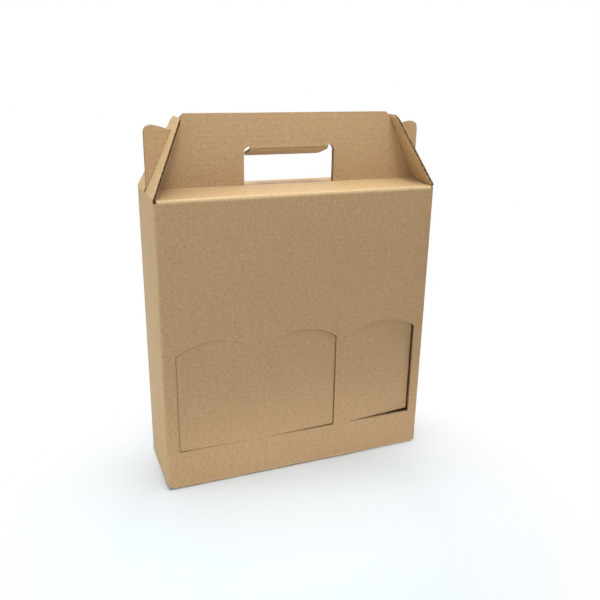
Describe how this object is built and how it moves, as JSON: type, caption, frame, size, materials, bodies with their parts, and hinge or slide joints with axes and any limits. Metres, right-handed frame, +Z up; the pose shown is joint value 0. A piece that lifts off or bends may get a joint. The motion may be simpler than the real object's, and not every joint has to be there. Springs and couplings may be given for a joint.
{
  "type": "bottle carrier box",
  "caption": "Folded corrugated board carrier for bottles: a tall narrow box with a carry handle held by slotted side flaps and arched window flaps in its front.",
  "frame": {"origin": "on the floor under the middle of the box", "axes": "+X to the right seen from the front, +Y towards the back, +Z up"},
  "size_m": [0.326, 0.097, 0.419],
  "materials": {
    "kraft_board": "matte brown kraft liner"
  },
  "bodies": {
    "carton": {"carton_body": "kraft_board"},
    "left_lock_flap": {"left_lock_flap": "kraft_board"},
    "right_lock_flap": {"right_lock_flap": "kraft_board"},
    "left_window_flap": {"left_window_flap": "kraft_board"},
    "middle_window_flap": {"middle_window_flap": "kraft_board"},
    "right_window_flap": {"right_window_flap": "kraft_board"}
  },
  "joints": [
    {"name": "left_lock_hinge", "type": "hinge", "parent": "carton", "child": "left_lock_flap", "pos_m": [-0.163, 0, 0.339], "axis": [0, -1, 0], "range_deg": [0, 180]},
    {"name": "right_lock_hinge", "type": "hinge", "parent": "carton", "child": "right_lock_flap", "pos_m": [0.163, 0, 0.339], "axis": [0, 1, 0], "range_deg": [0, 180]},
    {"name": "left_window_hinge", "type": "hinge", "parent": "carton", "child": "left_window_flap", "pos_m": [-0.0608, -0.0455, 0.113], "axis": [0, 0, -1], "range_deg": [-0.4, 89.6]},
    {"name": "middle_window_hinge", "type": "hinge", "parent": "carton", "child": "middle_window_flap", "pos_m": [-0.0425, -0.0455, 0.113], "axis": [0, 0, 1], "range_deg": [-1.4, 88.6]},
    {"name": "right_window_hinge", "type": "hinge", "parent": "carton", "child": "right_window_flap", "pos_m": [0.0628, -0.0455, 0.113], "axis": [0, 0, 1], "range_deg": [-3.6, 86.4]}
  ]
}
